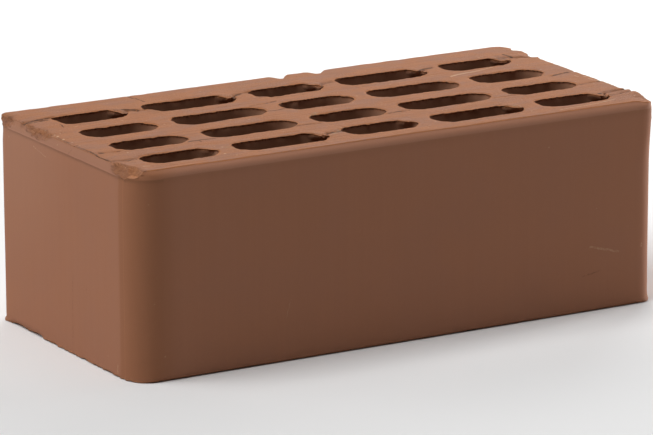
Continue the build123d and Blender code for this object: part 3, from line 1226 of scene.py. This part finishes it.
# %% Light and dark of the finest grain, and painted light on the rolled arrises
side_streak = product(sums("SUBTRACT", pushed_streaks, 0.5), not_bed, 0.05)
bed_streak = product(sums("SUBTRACT", wire_streaks, 0.5), cut_bed, 0.40)
grain_amount = sums("MULTIPLY_ADD", cut_bed, 0.40, 0.16)
grain_tone = product(sums("SUBTRACT", fine_grain, 0.5), grain_amount)
tone = sums("ADD", sums("ADD", 1.0, grain_tone), sums("ADD", side_streak, bed_streak))
# Painted highlight on the band's lip and painted shadow under it, as factors on the colour
tone = sums("ADD", tone, sums("SUBTRACT", product(band_lip_highlight, 0.10), product(band_shadow, 0.10)))
# Painted highlight on the face's rolled arris: brightest at its upper edge, where it turns up towards
# the light, and fading down the roll.
roll_highlight = product(ramp(across_roll, 5.0, 0.0, 0.10, 0.43), on_roll)
# Painted shade just below the face's rolled arris
shade_under_roll = product(ramp(across_roll, 4.0, 4.6), ramp(across_roll, 9.0, 5.0), 0.05)
tone = sums("ADD", tone, sums("SUBTRACT", roll_highlight, shade_under_roll))
tone_factor = put("ShaderNodeCombineXYZ", {0: tone, 1: tone, 2: tone}).outputs[0]
toned = vectors("MULTIPLY", colour, tone_factor)
print("colour ready")

# %% Relief too fine for the mesh
rough_cut = product(sums("ADD", product(wire_streaks, 0.20), product(coarse_grain, 0.34)), cut_bed)
skin_relief = product(fine_grain, sums("MULTIPLY_ADD", cut_bed, 0.22, 0.04))
torn_fibre = grain(0.9, stretch=(2.5, 1, 2.5), detail=3.0, roughness=0.7)
fibres = product(sums("ADD", torn_fibre, coarse_grain), torn, 0.9)
relief = sums("ADD", sums("ADD", rough_cut, skin_relief), fibres)
bump = put("ShaderNodeBump", {"Height": relief, "Distance": MM, "Strength": 1.0}).outputs["Normal"]
print("relief in mm ready")

# %% Finish
polish = product(rolled_share, -0.10)
roughness = sums("ADD", ramp(fine_grain, 0.2, 0.8, 0.70, 0.90), polish)
surface = put(
    "ShaderNodeBsdfPrincipled",
    {"Base Color": toned, "Roughness": roughness, "Normal": bump, "Specular IOR Level": 0.2},
)
put("ShaderNodeOutputMaterial", {"Surface": surface.outputs[0]})
brick.data.materials.append(clay)
print("fired clay:", len(tree.nodes), "nodes")

# %% [markdown]
# Camera, floor and light
#
# The camera stands where the photograph was taken from, worked out from the brick's edges: about
# 2.2 m away with a long lens, so the brick's sides hardly converge. The floor is plain and pale.
# Soft boxes stand where the brick says that they stood: the bed is brightest, the left header
# next, and the face lives mostly on light that comes back from the floor.

# %% Camera
view_azimuth = math.radians(-30.290)
view_elevation = math.radians(14.556)
view_distance = 2.2094
view_roll = math.radians(-0.2267)
sensor_width = 36.0
focal_length = 289.238
aim = Vector((3.228, 7.286, 37.969)) * MM


def aim_frame(azimuth, elevation):
    """Right, up and back directions of someone who looks at the brick from there."""
    flat = math.cos(elevation)
    back = Vector((math.sin(azimuth) * flat, -math.cos(azimuth) * flat, math.sin(elevation)))
    right = Vector((math.cos(azimuth), math.sin(azimuth), 0))
    return right, back.cross(right), back


lens = bpy.data.cameras.new("photo_camera")
lens.sensor_width = sensor_width
lens.lens = focal_length
lens.clip_end = 20.0
camera = bpy.data.objects.new("photo_camera", lens)
bpy.context.scene.collection.objects.link(camera)
right, up, back = aim_frame(view_azimuth, view_elevation)
tilted_right = right * math.cos(view_roll) + up * math.sin(view_roll)
tilted_up = back.cross(tilted_right)
turn = Matrix((tilted_right, tilted_up, back)).transposed()
camera.matrix_world = Matrix.Translation(aim + back * view_distance) @ turn.to_4x4()
bpy.context.scene.camera = camera
print("camera at", [round(v, 4) for v in camera.matrix_world.translation])

# %% Floor
floor_half = 6.0
floor_mesh = bpy.data.meshes.new("floor")
floor_corners = [(x * floor_half, y * floor_half, 0) for x, y in ((-1, -1), (1, -1), (1, 1), (-1, 1))]
floor_mesh.from_pydata(floor_corners, [], [(0, 1, 2, 3)])
floor = bpy.data.objects.new("floor", floor_mesh)
bpy.context.scene.collection.objects.link(floor)
paper = bpy.data.materials.new("pale_paper")
paper.use_nodes = True
paper_inputs = paper.node_tree.nodes["Principled BSDF"].inputs
paper_inputs["Base Color"].default_value = (0.85, 0.85, 0.85, 1)
paper_inputs["Roughness"].default_value = 0.9
floor_mesh.materials.append(paper)
print("floor", 2 * floor_half, "m wide")

# %% Soft boxes
def soft_box(name, azimuth, elevation, distance, size, watts):
    """A square area light of the given size that faces the brick from that direction."""
    light = bpy.data.lights.new(name, "AREA")
    light.shape = "SQUARE"
    light.size = size
    light.energy = watts
    lamp = bpy.data.objects.new(name, light)
    bpy.context.scene.collection.objects.link(lamp)
    right, up, back = aim_frame(math.radians(azimuth), math.radians(elevation))
    turn = Matrix((right, up, back)).transposed()
    lamp.matrix_world = Matrix.Translation(back * distance) @ turn.to_4x4()
    return lamp


# Each box: name, azimuth and elevation in degrees, distance and size in m, watts
soft_boxes = [
    ("high_left", -90, 60, 3.0, 1.8, 62),
    ("overhead", 0, 88, 3.0, 2.5, 15.4),
    ("behind_left", -125, 22, 3.0, 1.5, 13.87),
    ("low_behind", 170, 22, 3.0, 1.8, 7.57),
    ("near_behind_right", 140, 30, 1.0, 0.6, 4.09),
    ("low_right_edge", 87, 8, 0.9, 0.3, 3.2),
    ("right_behind", 102, 7, 3.0, 0.6, 36),
]
for settings in soft_boxes:
    soft_box(*settings)
print(len(soft_boxes), "soft boxes")

# %% A dark world, and colours shown as they are
world = bpy.data.worlds.new("studio")
world.use_nodes = True
world_inputs = world.node_tree.nodes["Background"].inputs
world_inputs["Color"].default_value = (1, 1, 1, 1)
world_inputs["Strength"].default_value = 0.0
bpy.context.scene.world = world
bpy.context.scene.view_settings.view_transform = "Standard"
bpy.context.scene.view_settings.look = "None"
print("view transform:", bpy.context.scene.view_settings.view_transform)
